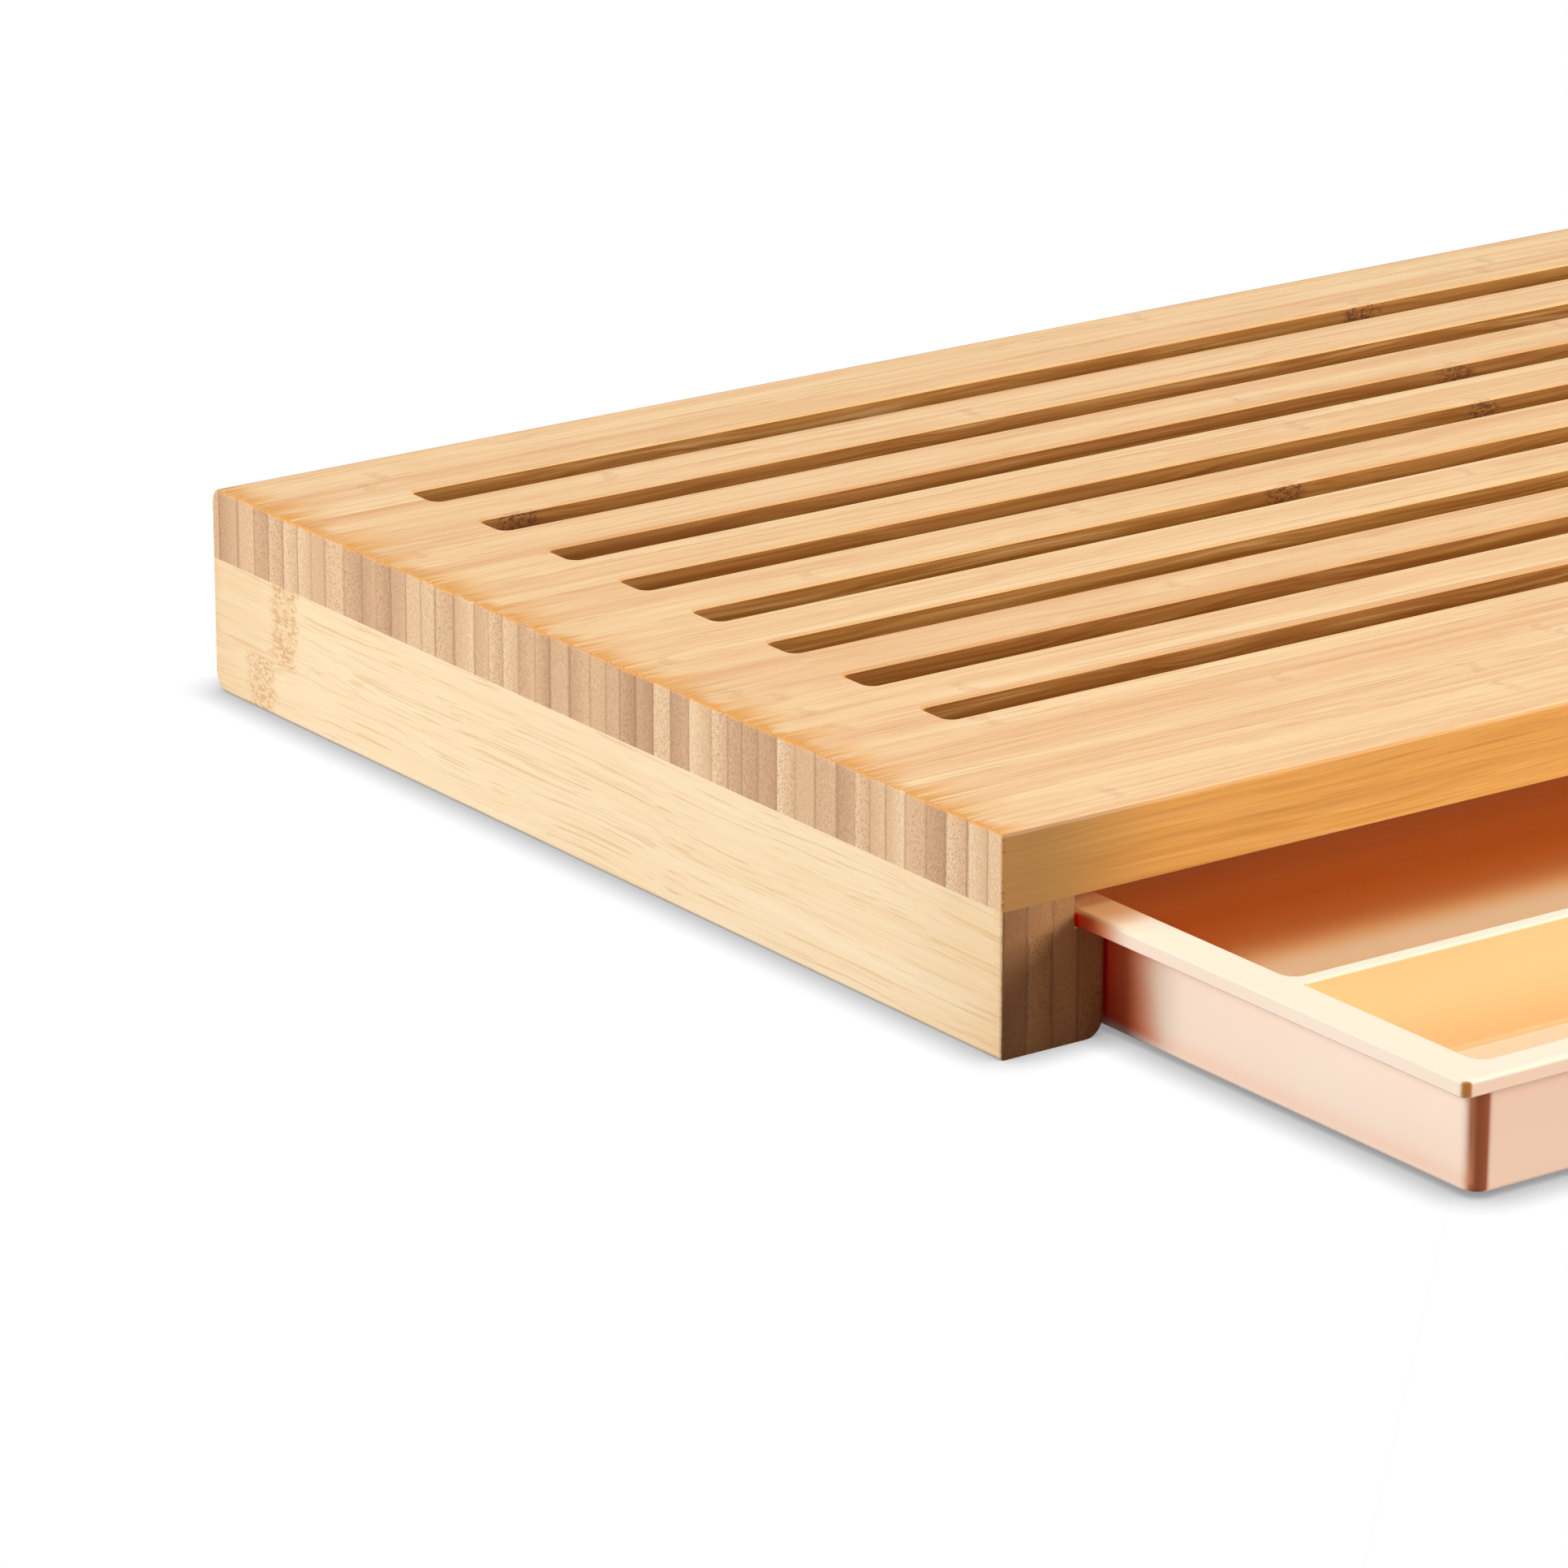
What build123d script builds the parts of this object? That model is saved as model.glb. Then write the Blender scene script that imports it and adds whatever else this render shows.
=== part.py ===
from build123d import *
from math import radians, tan
import os

# Bread board with a crumb catcher. A slotted bamboo slab is glued and
# dowelled to two side rails and a rear rail, and a moulded tray hangs by
# its rim in rebates along the side rails and slides out at the front.
# X runs along the board, Y from front to back and Z up. The tray stands
# drawn out, and the origin is on the table, in the middle of the space that
# the board and the drawn tray take there.

# The slab. Its length runs with the bamboo strips.
board_length = 420.0
board_depth = 280.0
slab_thickness = 15.5
slab_front_radius = 1.0
slab_back_radius = 3.0
end_easing = 0.8

# The slots. They leave a plain margin in front, for slicing and spreading.
slot_count = 8
slot_width = 10.0
slot_side_margin = 32.5
slot_corner_radius = 2.2
slot_easing = 0.5
front_margin = 60.5
back_margin = 27.5

# The rails under the slab. The rebate is the runner that the rim hangs in.
rail_height = 29.5
rail_width = 24.0
rail_inner_radius = 4.0
rail_back_radius = 4.0
rear_rail_easing = 0.6
rebate_width = 7.0
rebate_depth = 6.6
rear_rail_thickness = 12.0

# The dowels of the glued joints.
rail_dowel_diameter = 8.0
rail_dowel_count = 3
rail_dowel_margin = 40.0
rail_dowel_grip = 18.0
rear_dowel_diameter = 6.0
rear_dowel_count = 3
rear_dowel_margin = 60.0
rear_dowel_grip = 15.0
slab_dowel_grip = 10.0
corner_dowel_count = 2
corner_dowel_pitch = 12.0
corner_dowel_height = 5.5
corner_dowel_grip = 12.0
corner_dowel_reach = 18.0
dowel_clearance = 0.05
dowel_end_gap = 0.5

# The tray and its fit in the board. The travel is how far it stands drawn
# out from its closed place, where it meets the rear rail.
tray_travel = 112.5
closed_recess = 0.5
stop_gap = 0.3
side_clearance = 1.0
ride_gap = 0.1
table_clearance = 1.2
wall_thickness = 2.0
floor_thickness = 2.2
draft_angle = 1.0

# The tray's rim, with a lip that turns down all round it.
lip_height = 3.4
lip_thickness = 2.0
flange_thickness = 2.0
rim_corner_radius = 2.0
rim_outer_easing = 0.8
rim_inner_easing = 0.5
front_overhang = 5.0
back_overhang = 5.0

# The tray's body: a knife compartment in front, under the slab's plain
# margin, and a crumb compartment behind it, under the slots. A low foot runs
# all round its underside.
divider_thickness = 3.4
body_corner_radius = 4.5
body_bottom_easing = 0.6
foot_height = 1.6
foot_width = 3.0
foot_inner_radius = 1.5
pocket_corner_radius = 3.0
divider_floor_radius = 0.85
pocket_floor_easing = 0.8

# Places that follow from the sizes above.
tray_reach = tray_travel - closed_recess
board_front = (tray_reach - board_depth) / 2
board_back = board_front + board_depth
board_middle = board_front + board_depth / 2
board_side = board_length / 2
board_top = rail_height + slab_thickness

slot_length = board_length - 2 * slot_side_margin
slot_field = board_depth - front_margin - back_margin
slot_pitch = (slot_field - slot_width) / (slot_count - 1)
slot_middle = board_front + front_margin + slot_field / 2

rail_inner_side = board_side - rail_width
rebate_side = rail_inner_side + rebate_width
rebate_floor = rail_height - rebate_depth
rear_rail_front = board_back - rear_rail_thickness
rear_rail_middle = board_back - rear_rail_thickness / 2

rail_dowel_x = (board_side + rebate_side) / 2
rail_dowel_span = board_depth - 2 * rail_dowel_margin
rail_dowel_pitch = rail_dowel_span / (rail_dowel_count - 1)
rear_dowel_span = 2 * (rail_inner_side - rear_dowel_margin)
rear_dowel_pitch = rear_dowel_span / (rear_dowel_count - 1)
corner_dowel_middle = corner_dowel_height + corner_dowel_pitch / 2
corner_dowel_outer = rail_inner_side + corner_dowel_grip
corner_dowel_inner = rail_inner_side - corner_dowel_reach

tray_front = board_front - tray_reach
tray_depth = board_depth - closed_recess - rear_rail_thickness - stop_gap
tray_back = tray_front + tray_depth
tray_middle = tray_front + tray_depth / 2
lip_bottom = rebate_floor + ride_gap
rim_top = lip_bottom + lip_height
rim_width = 2 * (rebate_side - side_clearance)
tray_height = rim_top - table_clearance

body_width = 2 * (rail_inner_side - side_clearance)
body_front = tray_front + front_overhang
body_back = tray_back - back_overhang
body_depth = body_back - body_front
body_middle = (body_front + body_back) / 2

pocket_width = body_width - 2 * wall_thickness
pocket_depth = tray_height - foot_height - floor_thickness
divider_corner_radius = divider_floor_radius + pocket_depth * tan(radians(draft_angle))
divider_back = tray_front + front_margin - closed_recess
divider_front = divider_back - divider_thickness
knife_front = body_front + wall_thickness
knife_middle = (knife_front + divider_front) / 2
crumb_back = body_back - wall_thickness
crumb_middle = (divider_back + crumb_back) / 2
foot_inset = foot_width + tray_height * tan(radians(draft_angle))
foot_inner_width = body_width - 2 * foot_inset
foot_inner_depth = body_depth - 2 * foot_inset


# The slab: one glued panel, with eight long slots milled through it and
# blind holes for the dowels in its underside.
with BuildPart() as cutting_board:
    with BuildSketch(Plane.YZ.offset(-board_side)) as slab_section:
        with Locations((board_middle, rail_height + slab_thickness / 2)):
            Rectangle(board_depth, slab_thickness)
        top_corners = slab_section.vertices().group_by(Axis.Y)[-1].sort_by(Axis.X)
        fillet(top_corners[-1], slab_back_radius)
        top_corners = slab_section.vertices().group_by(Axis.Y)[-1].sort_by(Axis.X)
        fillet(top_corners[0], slab_front_radius)
    extrude(amount=board_length)
    slab_ends = cutting_board.faces().filter_by(Axis.X)
    fillet([edge for end in slab_ends for edge in end.edges().sort_by(Axis.Z)[1:]], end_easing)
    with BuildSketch(Plane.XY.offset(board_top)):
        with Locations((0, slot_middle)):
            with GridLocations(slot_pitch, slot_pitch, 1, slot_count):
                RectangleRounded(slot_length, slot_width, slot_corner_radius)
    extrude(amount=-slab_thickness, mode=Mode.SUBTRACT)
    slab_top = cutting_board.faces().sort_by(Axis.Z)[-1]
    slot_mouths = [edge for rim in slab_top.inner_wires() for edge in rim.edges()]
    chamfer(slot_mouths, slot_easing)
    with BuildSketch(Plane.XY.offset(rail_height)):
        with Locations((0, board_middle)):
            with GridLocations(2 * rail_dowel_x, rail_dowel_pitch, 2, rail_dowel_count):
                Circle(rail_dowel_diameter / 2 + dowel_clearance)
        with Locations((0, rear_rail_middle)):
            with GridLocations(rear_dowel_pitch, rear_dowel_pitch, rear_dowel_count, 1):
                Circle(rear_dowel_diameter / 2 + dowel_clearance)
    extrude(amount=slab_dowel_grip + dowel_end_gap, mode=Mode.SUBTRACT)

# The left rail: its section is drawn on the front face and runs the whole
# depth of the board, with the rebate in its top inner corner.
with BuildPart() as left_rail:
    with BuildSketch(Plane.XZ.offset(-board_front)):
        with BuildLine():
            Polyline(
                (-board_side, 0),
                (-board_side, rail_height),
                (-rebate_side, rail_height),
                (-rebate_side, rebate_floor),
                (-rail_inner_side, rebate_floor),
                (-rail_inner_side, 0),
                close=True,
            )
        make_face()
    extrude(amount=-board_depth)
    rail_bottom = left_rail.faces().sort_by(Axis.Z)[0]
    fillet(rail_bottom.edges().filter_by(Axis.Y).sort_by(Axis.X)[-1], rail_inner_radius)
    rail_bottom = left_rail.faces().sort_by(Axis.Z)[0]
    fillet(rail_bottom.edges().filter_by(Axis.X).sort_by(Axis.Y)[-1], rail_back_radius)
    rail_side = left_rail.faces().sort_by(Axis.X)[0]
    fillet(rail_side.edges().sort_by(Axis.Z)[:-1], end_easing)
    with BuildSketch(Plane.XY.offset(rail_height)):
        with Locations((-rail_dowel_x, board_middle)):
            with GridLocations(rail_dowel_pitch, rail_dowel_pitch, 1, rail_dowel_count):
                Circle(rail_dowel_diameter / 2 + dowel_clearance)
    extrude(amount=-rail_dowel_grip - dowel_end_gap, mode=Mode.SUBTRACT)
    with BuildSketch(Plane.YZ.offset(-rail_inner_side)):
        with Locations((rear_rail_middle, corner_dowel_middle)):
            with GridLocations(corner_dowel_pitch, corner_dowel_pitch, 1, corner_dowel_count):
                Circle(rear_dowel_diameter / 2 + dowel_clearance)
    extrude(amount=-corner_dowel_grip - dowel_end_gap, mode=Mode.SUBTRACT)

# The right rail is the left one mirrored.
with BuildPart() as right_rail:
    mirror(left_rail.part, about=Plane.YZ)

# The rear rail stands between the side rails and stops the tray.
with BuildPart() as rear_rail:
    with BuildSketch(Plane.XY):
        with Locations((0, rear_rail_middle)):
            Rectangle(2 * rail_inner_side, rear_rail_thickness)
    extrude(amount=rail_height)
    chamfer(rear_rail.faces().sort_by(Axis.Z)[0].edges().filter_by(Axis.X), rear_rail_easing)
    with BuildSketch(Plane.XY.offset(rail_height)):
        with Locations((0, rear_rail_middle)):
            with GridLocations(rear_dowel_pitch, rear_dowel_pitch, rear_dowel_count, 1):
                Circle(rear_dowel_diameter / 2 + dowel_clearance)
    extrude(amount=-rear_dowel_grip - dowel_end_gap, mode=Mode.SUBTRACT)
    for end in (-1, 1):
        with BuildSketch(Plane.YZ.offset(end * rail_inner_side)):
            with Locations((rear_rail_middle, corner_dowel_middle)):
                with GridLocations(corner_dowel_pitch, corner_dowel_pitch, 1, corner_dowel_count):
                    Circle(rear_dowel_diameter / 2 + dowel_clearance)
        extrude(amount=-end * (corner_dowel_reach + dowel_end_gap), mode=Mode.SUBTRACT)

# The dowels that hold the slab on the left rail.
with BuildPart() as left_rail_dowels:
    with BuildSketch(Plane.XY.offset(rail_height - rail_dowel_grip)):
        with Locations((-rail_dowel_x, board_middle)):
            with GridLocations(rail_dowel_pitch, rail_dowel_pitch, 1, rail_dowel_count):
                Circle(rail_dowel_diameter / 2)
    extrude(amount=rail_dowel_grip + slab_dowel_grip)

with BuildPart() as right_rail_dowels:
    mirror(left_rail_dowels.part, about=Plane.YZ)

# The dowels between the slab and the rear rail.
with BuildPart() as rear_rail_dowels:
    with BuildSketch(Plane.XY.offset(rail_height - rear_dowel_grip)):
        with Locations((0, rear_rail_middle)):
            with GridLocations(rear_dowel_pitch, rear_dowel_pitch, rear_dowel_count, 1):
                Circle(rear_dowel_diameter / 2)
    extrude(amount=rear_dowel_grip + slab_dowel_grip)

# The dowels that join the rear rail's ends to the side rails.
with BuildPart() as corner_dowels:
    with BuildSketch(Plane.YZ.offset(corner_dowel_inner)):
        with Locations((rear_rail_middle, corner_dowel_middle)):
            with GridLocations(corner_dowel_pitch, corner_dowel_pitch, 1, corner_dowel_count):
                Circle(rear_dowel_diameter / 2)
    extrude(amount=corner_dowel_outer - corner_dowel_inner)
    mirror(about=Plane.YZ)

# The tray. The rim comes first, as a flange with its lip turned down, then
# the drafted body under it, then the two compartments sunk into the body,
# and last the underside, which is cut back inside its foot.
with BuildPart() as crumb_tray:
    with BuildSketch(Plane.XY.offset(rim_top)):
        with Locations((0, tray_middle)):
            RectangleRounded(rim_width, tray_depth, rim_corner_radius)
    extrude(amount=-lip_height)
    fillet(crumb_tray.faces().sort_by(Axis.Z)[-1].edges(), rim_outer_easing)
    with BuildSketch(Plane.XY.offset(lip_bottom)):
        with Locations((0, tray_middle)):
            Rectangle(rim_width - 2 * lip_thickness, tray_depth - 2 * lip_thickness)
    extrude(amount=lip_height - flange_thickness, mode=Mode.SUBTRACT)
    with BuildSketch(Plane.XY.offset(rim_top)):
        with Locations((0, body_middle)):
            RectangleRounded(body_width, body_depth, body_corner_radius)
    extrude(amount=-tray_height, taper=draft_angle)
    chamfer(crumb_tray.faces().sort_by(Axis.Z)[0].edges(), body_bottom_easing)
    with BuildSketch(Plane.XY.offset(rim_top)):
        with Locations((0, crumb_middle)):
            RectangleRounded(pocket_width, crumb_back - divider_back, pocket_corner_radius)
    extrude(amount=-pocket_depth, taper=draft_angle, mode=Mode.SUBTRACT)
    with BuildSketch(Plane.XY.offset(rim_top)) as knife_outline:
        with Locations((0, knife_middle)):
            Rectangle(pocket_width, divider_front - knife_front)
        fillet(knife_outline.vertices().group_by(Axis.Y)[0], pocket_corner_radius)
        fillet(knife_outline.vertices().group_by(Axis.Y)[-1], divider_corner_radius)
    extrude(amount=-pocket_depth, taper=draft_angle, mode=Mode.SUBTRACT)
    pocket_floors = crumb_tray.faces().filter_by(Axis.Z).group_by(Axis.Z)[1]
    chamfer(pocket_floors.edges(), pocket_floor_easing)
    rim_face = crumb_tray.faces().sort_by(Axis.Z)[-1]
    pocket_mouths = [edge for mouth in rim_face.inner_wires() for edge in mouth.edges()]
    chamfer(pocket_mouths, rim_inner_easing)
    with BuildSketch(Plane.XY.offset(table_clearance)):
        with Locations((0, body_middle)):
            RectangleRounded(foot_inner_width, foot_inner_depth, foot_inner_radius)
    extrude(amount=foot_height, mode=Mode.SUBTRACT)

cutting_board.part.label = "cutting_board"
left_rail.part.label = "left_rail"
right_rail.part.label = "right_rail"
rear_rail.part.label = "rear_rail"
left_rail_dowels.part.label = "left_rail_dowels"
right_rail_dowels.part.label = "right_rail_dowels"
rear_rail_dowels.part.label = "rear_rail_dowels"
corner_dowels.part.label = "corner_dowels"
crumb_tray.part.label = "crumb_tray"

os.makedirs("parts", exist_ok=True)
export_step(cutting_board.part, "parts/cutting_board.step")
export_step(left_rail.part, "parts/left_rail.step")
export_step(right_rail.part, "parts/right_rail.step")
export_step(rear_rail.part, "parts/rear_rail.step")
export_step(left_rail_dowels.part, "parts/left_rail_dowels.step")
export_step(right_rail_dowels.part, "parts/right_rail_dowels.step")
export_step(rear_rail_dowels.part, "parts/rear_rail_dowels.step")
export_step(corner_dowels.part, "parts/corner_dowels.step")
export_step(crumb_tray.part, "parts/crumb_tray.step")
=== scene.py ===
import math

import bmesh
import bpy
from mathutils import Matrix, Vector


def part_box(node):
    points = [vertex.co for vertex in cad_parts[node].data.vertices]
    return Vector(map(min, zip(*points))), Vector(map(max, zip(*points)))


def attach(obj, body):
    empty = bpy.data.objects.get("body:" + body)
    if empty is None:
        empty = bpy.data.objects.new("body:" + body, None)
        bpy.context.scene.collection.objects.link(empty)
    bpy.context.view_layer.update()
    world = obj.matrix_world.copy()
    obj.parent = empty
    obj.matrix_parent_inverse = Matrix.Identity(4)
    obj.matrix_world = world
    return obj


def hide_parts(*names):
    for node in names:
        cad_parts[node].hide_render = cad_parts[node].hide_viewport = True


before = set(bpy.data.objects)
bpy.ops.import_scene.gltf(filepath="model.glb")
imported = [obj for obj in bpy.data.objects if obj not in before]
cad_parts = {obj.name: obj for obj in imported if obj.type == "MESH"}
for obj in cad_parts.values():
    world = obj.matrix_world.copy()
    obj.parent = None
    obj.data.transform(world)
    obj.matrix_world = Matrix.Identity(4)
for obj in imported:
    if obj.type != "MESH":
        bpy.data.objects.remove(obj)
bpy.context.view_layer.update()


# The view. It looks along the board's left end from a little above, from in
# front and to the left, with a long lens and no shift.
view_place = Vector((-1.04758, -1.18716, 0.521049))
view_azimuth = math.radians(-35.526)
view_elevation = math.radians(18.608)
view_back = Vector((
    math.sin(view_azimuth) * math.cos(view_elevation),
    -math.cos(view_azimuth) * math.cos(view_elevation),
    math.sin(view_elevation),
))
camera_data = bpy.data.cameras.new("view")
camera_data.sensor_fit = "HORIZONTAL"
camera_data.sensor_width = 36.0
camera_data.lens = 181.056
camera_data.clip_start = 0.01
camera_data.clip_end = 100.0
camera = bpy.data.objects.new("view", camera_data)
camera.location = view_place
camera.rotation_mode = "QUATERNION"
camera.rotation_quaternion = (-view_back).to_track_quat("-Z", "Y")
bpy.context.scene.collection.objects.link(camera)
bpy.context.scene.camera = camera


# The slab. It is a panel of 6 mm bamboo strips on edge, glued side by side,
# planed, slotted with a router and oiled. Its top shows the strips' narrow
# edges, its long sides one strip's broad face and its ends the cut fibres.
def tone(red, green, blue):
    """A colour as it looks, from 0 to 255, as the linear colour of a shader."""
    parts = []
    for value in (red, green, blue):
        share = value / 255
        parts.append(share / 12.92 if share <= 0.04045 else ((share + 0.055) / 1.055) ** 2.4)
    return (*parts, 1.0)


def new_node(tree, kind, sockets=(), **settings):
    """One node with its settings, and its sockets as values or as links."""
    made = tree.nodes.new(kind)
    for name, value in settings.items():
        setattr(made, name, value)
    for place, value in dict(sockets).items():
        if isinstance(value, bpy.types.NodeSocket):
            tree.links.new(value, made.inputs[place])
        else:
            made.inputs[place].default_value = value
    return made


def add(tree, kind, sockets=(), **settings):
    """One shader node."""
    return new_node(tree, "ShaderNode" + kind, sockets, **settings)


def work(tree, operation, *values):
    """The result of one sum on sockets or numbers."""
    return add(tree, "Math", enumerate(values), operation=operation).outputs[0]


def times(tree, first, second):
    """One socket or number times another."""
    return work(tree, "MULTIPLY", first, second)


def plus(tree, first, second):
    """One socket or number plus another."""
    return work(tree, "ADD", first, second)


def less(tree, first, second):
    """One socket or number less another."""
    return work(tree, "SUBTRACT", first, second)


def scaled(tree, value, factor, offset):
    """A value times a factor, plus an offset."""
    return work(tree, "MULTIPLY_ADD", value, factor, offset)


def between(tree, share, first, second):
    """The first value where the share is nought, and the second where it is one."""
    return scaled(tree, share, second - first, first)


def swung(tree, start, *noises):
    """A start that noises move up and down, each by its own strength."""
    for noise, strength in noises:
        start = plus(tree, start, scaled(tree, noise, strength, -strength / 2))
    return start


def stretch(tree, vector, lengths):
    """A vector whose parts are counted in these lengths."""
    sizes = tuple(1 / length for length in lengths)
    return add(tree, "VectorMath", {0: vector, 1: sizes}, operation="MULTIPLY").outputs[0]


def cloudy(tree, vector, detail=2.0, roughness=0.5):
    """Soft noise with a middle of a half."""
    sockets = {"Vector": vector, "Scale": 1.0, "Detail": detail, "Roughness": roughness}
    return add(tree, "TexNoise", sockets).outputs[0]


def rise(tree, value, low, high):
    """Nought below low and one above high, with a smooth rise between them."""
    sockets = {0: value, 1: low, 2: high, 3: 0.0, 4: 1.0}
    return add(tree, "MapRange", sockets, interpolation_type="SMOOTHSTEP").outputs[0]


def fall(tree, value, low, high):
    """One below low and nought above high."""
    return less(tree, 1.0, rise(tree, value, low, high))


def blended(tree, share, first, second, blend_type="MIX"):
    """Two colours mixed by a share."""
    sockets = {0: share, 6: first, 7: second}
    return add(tree, "Mix", sockets, data_type="RGBA", blend_type=blend_type).outputs[2]


def shades(tree, factor, stops):
    """A run of colours, each at its place from nought to one."""
    ramp = add(tree, "ValToRGB", {0: factor})
    entries = ramp.color_ramp.elements
    while len(entries) < len(stops):
        entries.new(0.5)
    for entry, (place, colour) in zip(entries, stops):
        entry.position = place
        entry.color = tone(*colour)
    return ramp.outputs[0]


def blank(name):
    """A new material, its tree and its surface."""
    material = bpy.data.materials.new(name)
    material.use_nodes = True
    tree = material.node_tree
    return material, tree, tree.nodes["Principled BSDF"]


def cover(tree, surface, colour, gloss, height, strength, depth):
    """Gives a surface its colour, its roughness, and a bump of this strength and depth."""
    tree.links.new(colour, surface.inputs["Base Color"])
    tree.links.new(gloss, surface.inputs["Roughness"])
    bump = add(tree, "Bump", {"Height": height, "Strength": strength, "Distance": depth})
    tree.links.new(bump.outputs[0], surface.inputs["Normal"])


def bamboo(name, axes, faces, marks, ply_start, uneven, strip_height, joint_at, joint_layer,
           knuckle_at, scatter, middle, half, oil, stain_and_shade, oil_share, mirrored=False, slotted=None):
    """Glued bamboo.

    axes: those along the fibres, through the strips' thickness and up their breadth.
    faces: the shades of the broad faces, the narrow edges and the cut ends.
    marks: the colours of pits, bundles of fibre, sheen and knuckles.
    ply_start, uneven: where the first ply starts, and how much the plies vary.
    strip_height, joint_at, joint_layer: the strips' breadth, where two of them meet in one
    ply, and that ply's number.
    knuckle_at, scatter: where a knuckle is, and how far the others are scattered.
    middle, half: the middle of the length, and half of it.
    oil, stain_and_shade, oil_share: the colours that oil gives the ends, the second also a painted
    shade near them, and how strong they are.
    mirrored: whether the piece has a twin on the other side.
    slotted: the low and high corners of the box of the slots, and the painted shade of their walls.
    """
    pits_tone, bundle_tone, sheen_tone, knuckle_tone = marks
    grain, ply, stack = axes
    ply_thickness, knuckle_pitch, slot_margin, slot_mouth = 0.006, 0.31, 0.0006, 0.013
    material, tree, surface = blank(name)
    place = add(tree, "TexCoord")
    parts = add(tree, "SeparateXYZ", {0: place.outputs["Object"]}).outputs
    along, across, up = parts[grain], parts[ply], parts[stack]
    side = 0.0
    if mirrored:
        side = work(tree, "SIGN", across)
        across = work(tree, "ABSOLUTE", across)

    within = 0.0
    if slotted:
        slots_from, slots_to, painted_wall_shade = slotted
        for coordinate, low, high in zip(parts, slots_from, slots_to):
            inner = times(tree, rise(tree, coordinate, low, low + slot_margin),
                          fall(tree, coordinate, high - slot_margin, high))
            within = times(tree, within, inner) if within else inner

    # Which strip a point is in, and where in its thickness and breadth.
    plies = work(tree, "DIVIDE", less(tree, across, ply_start), ply_thickness)
    for pitch, share in ((1.73, 0.5), (0.91, 1.0)):
        wave = work(tree, "SINE", times(tree, plies, pitch))
        plies = scaled(tree, wave, uneven * share, plies)
    layer = work(tree, "FLOOR", plies)
    through = work(tree, "FRACT", plies)
    steps = less(tree, layer, joint_layer)
    stagger = scaled(tree, steps, 0.618 if joint_layer else 0.0, 1 - joint_at / strip_height)
    heights = plus(tree, work(tree, "DIVIDE", up, strip_height), stagger)
    row = work(tree, "FLOOR", heights)
    breadth = work(tree, "FRACT", heights)
    number = add(tree, "CombineXYZ", {0: layer, 1: row, 2: side}).outputs[0]
    draw = add(tree, "TexWhiteNoise", {"Vector": number}, noise_dimensions="3D")
    strip_tone = draw.outputs["Value"]
    strip_draws = add(tree, "SeparateXYZ", {0: draw.outputs["Color"]}).outputs

    # The fibres, each strip's from another part of the noise. Each kind has its usual
    # length, thickness and breadth.
    point = add(tree, "CombineXYZ", {0: along, 1: across, 2: up}).outputs[0]
    moved = add(tree, "VectorMath", {0: point, 1: draw.outputs["Color"]}, operation="ADD").outputs[0]
    sway = cloudy(tree, stretch(tree, moved, (0.07, 0.02, 0.02)), 1.0)
    swayed = add(tree, "CombineXYZ", {0: 0.0, 1: times(tree, sway, 0.004),
                                      2: times(tree, sway, 0.005)}).outputs[0]
    fibre = add(tree, "VectorMath", {0: moved, 1: swayed}, operation="ADD").outputs[0]
    bands = cloudy(tree, stretch(tree, fibre, (0.30, 0.0050, 0.0060)), 1.0)
    streaks = cloudy(tree, stretch(tree, fibre, (0.13, 0.0014, 0.0016)), 3.0, 0.6)
    strands = cloudy(tree, stretch(tree, fibre, (0.060, 0.0008, 0.0009)), 2.0, 0.6)
    threads = cloudy(tree, stretch(tree, fibre, (0.032, 0.00045, 0.00050)), 2.0)

    # The knuckles, where the stem had its rings.
    phase = times(tree, strip_draws[0], scatter)
    phase = plus(tree, phase, scaled(tree, row, 0.030, 0.5))
    phase = plus(tree, phase, times(tree, steps, 0.37))
    turns = work(tree, "DIVIDE", less(tree, along, knuckle_at), knuckle_pitch)
    turn = work(tree, "FRACT", plus(tree, turns, phase))
    gap = times(tree, less(tree, turn, 0.5), knuckle_pitch)
    ragged = cloudy(tree, stretch(tree, moved, (0.008, 0.0022, 0.0022)), 2.0)
    gap = swung(tree, gap, (ragged, 0.008))
    off = work(tree, "ABSOLUTE", gap)

    # How much a face shows of the strips' breadth, edges or ends.
    facing = add(tree, "SeparateXYZ", {0: place.outputs["Normal"]}).outputs
    squares = [times(tree, facing[i], facing[i]) for i in (grain, stack)]
    end_share = rise(tree, swung(tree, squares[0], (strands, 1.36 * oil_share)), 0.40, 0.70)
    edge_share = rise(tree, squares[1], 0.25, 0.75)
    if slotted:
        within = times(tree, within, fall(tree, squares[1], 0.1, 0.4))

    # The colour of each kind of face.
    level = swung(tree, 0.5, (strip_tone, 0.30), (streaks, 0.75), (bands, 0.50), (strands, 0.50))
    edges = shades(tree, level, faces[1])
    broad = shades(tree, swung(tree, level, (threads, 0.80)), faces[0])
    lean = less(tree, strip_draws[2], 0.5)
    end_draw = add(tree, "TexWhiteNoise", {"W": plus(tree, layer, 0.5)},
                   noise_dimensions="1D").outputs["Value"]
    end_level = plus(tree, 0.48, times(tree, lean, less(tree, through, 0.5)))
    end_level = swung(tree, end_level, (end_draw, 0.66), (threads, 0.74), (strands, 0.45))
    cut = shades(tree, end_level, faces[2])

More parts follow.
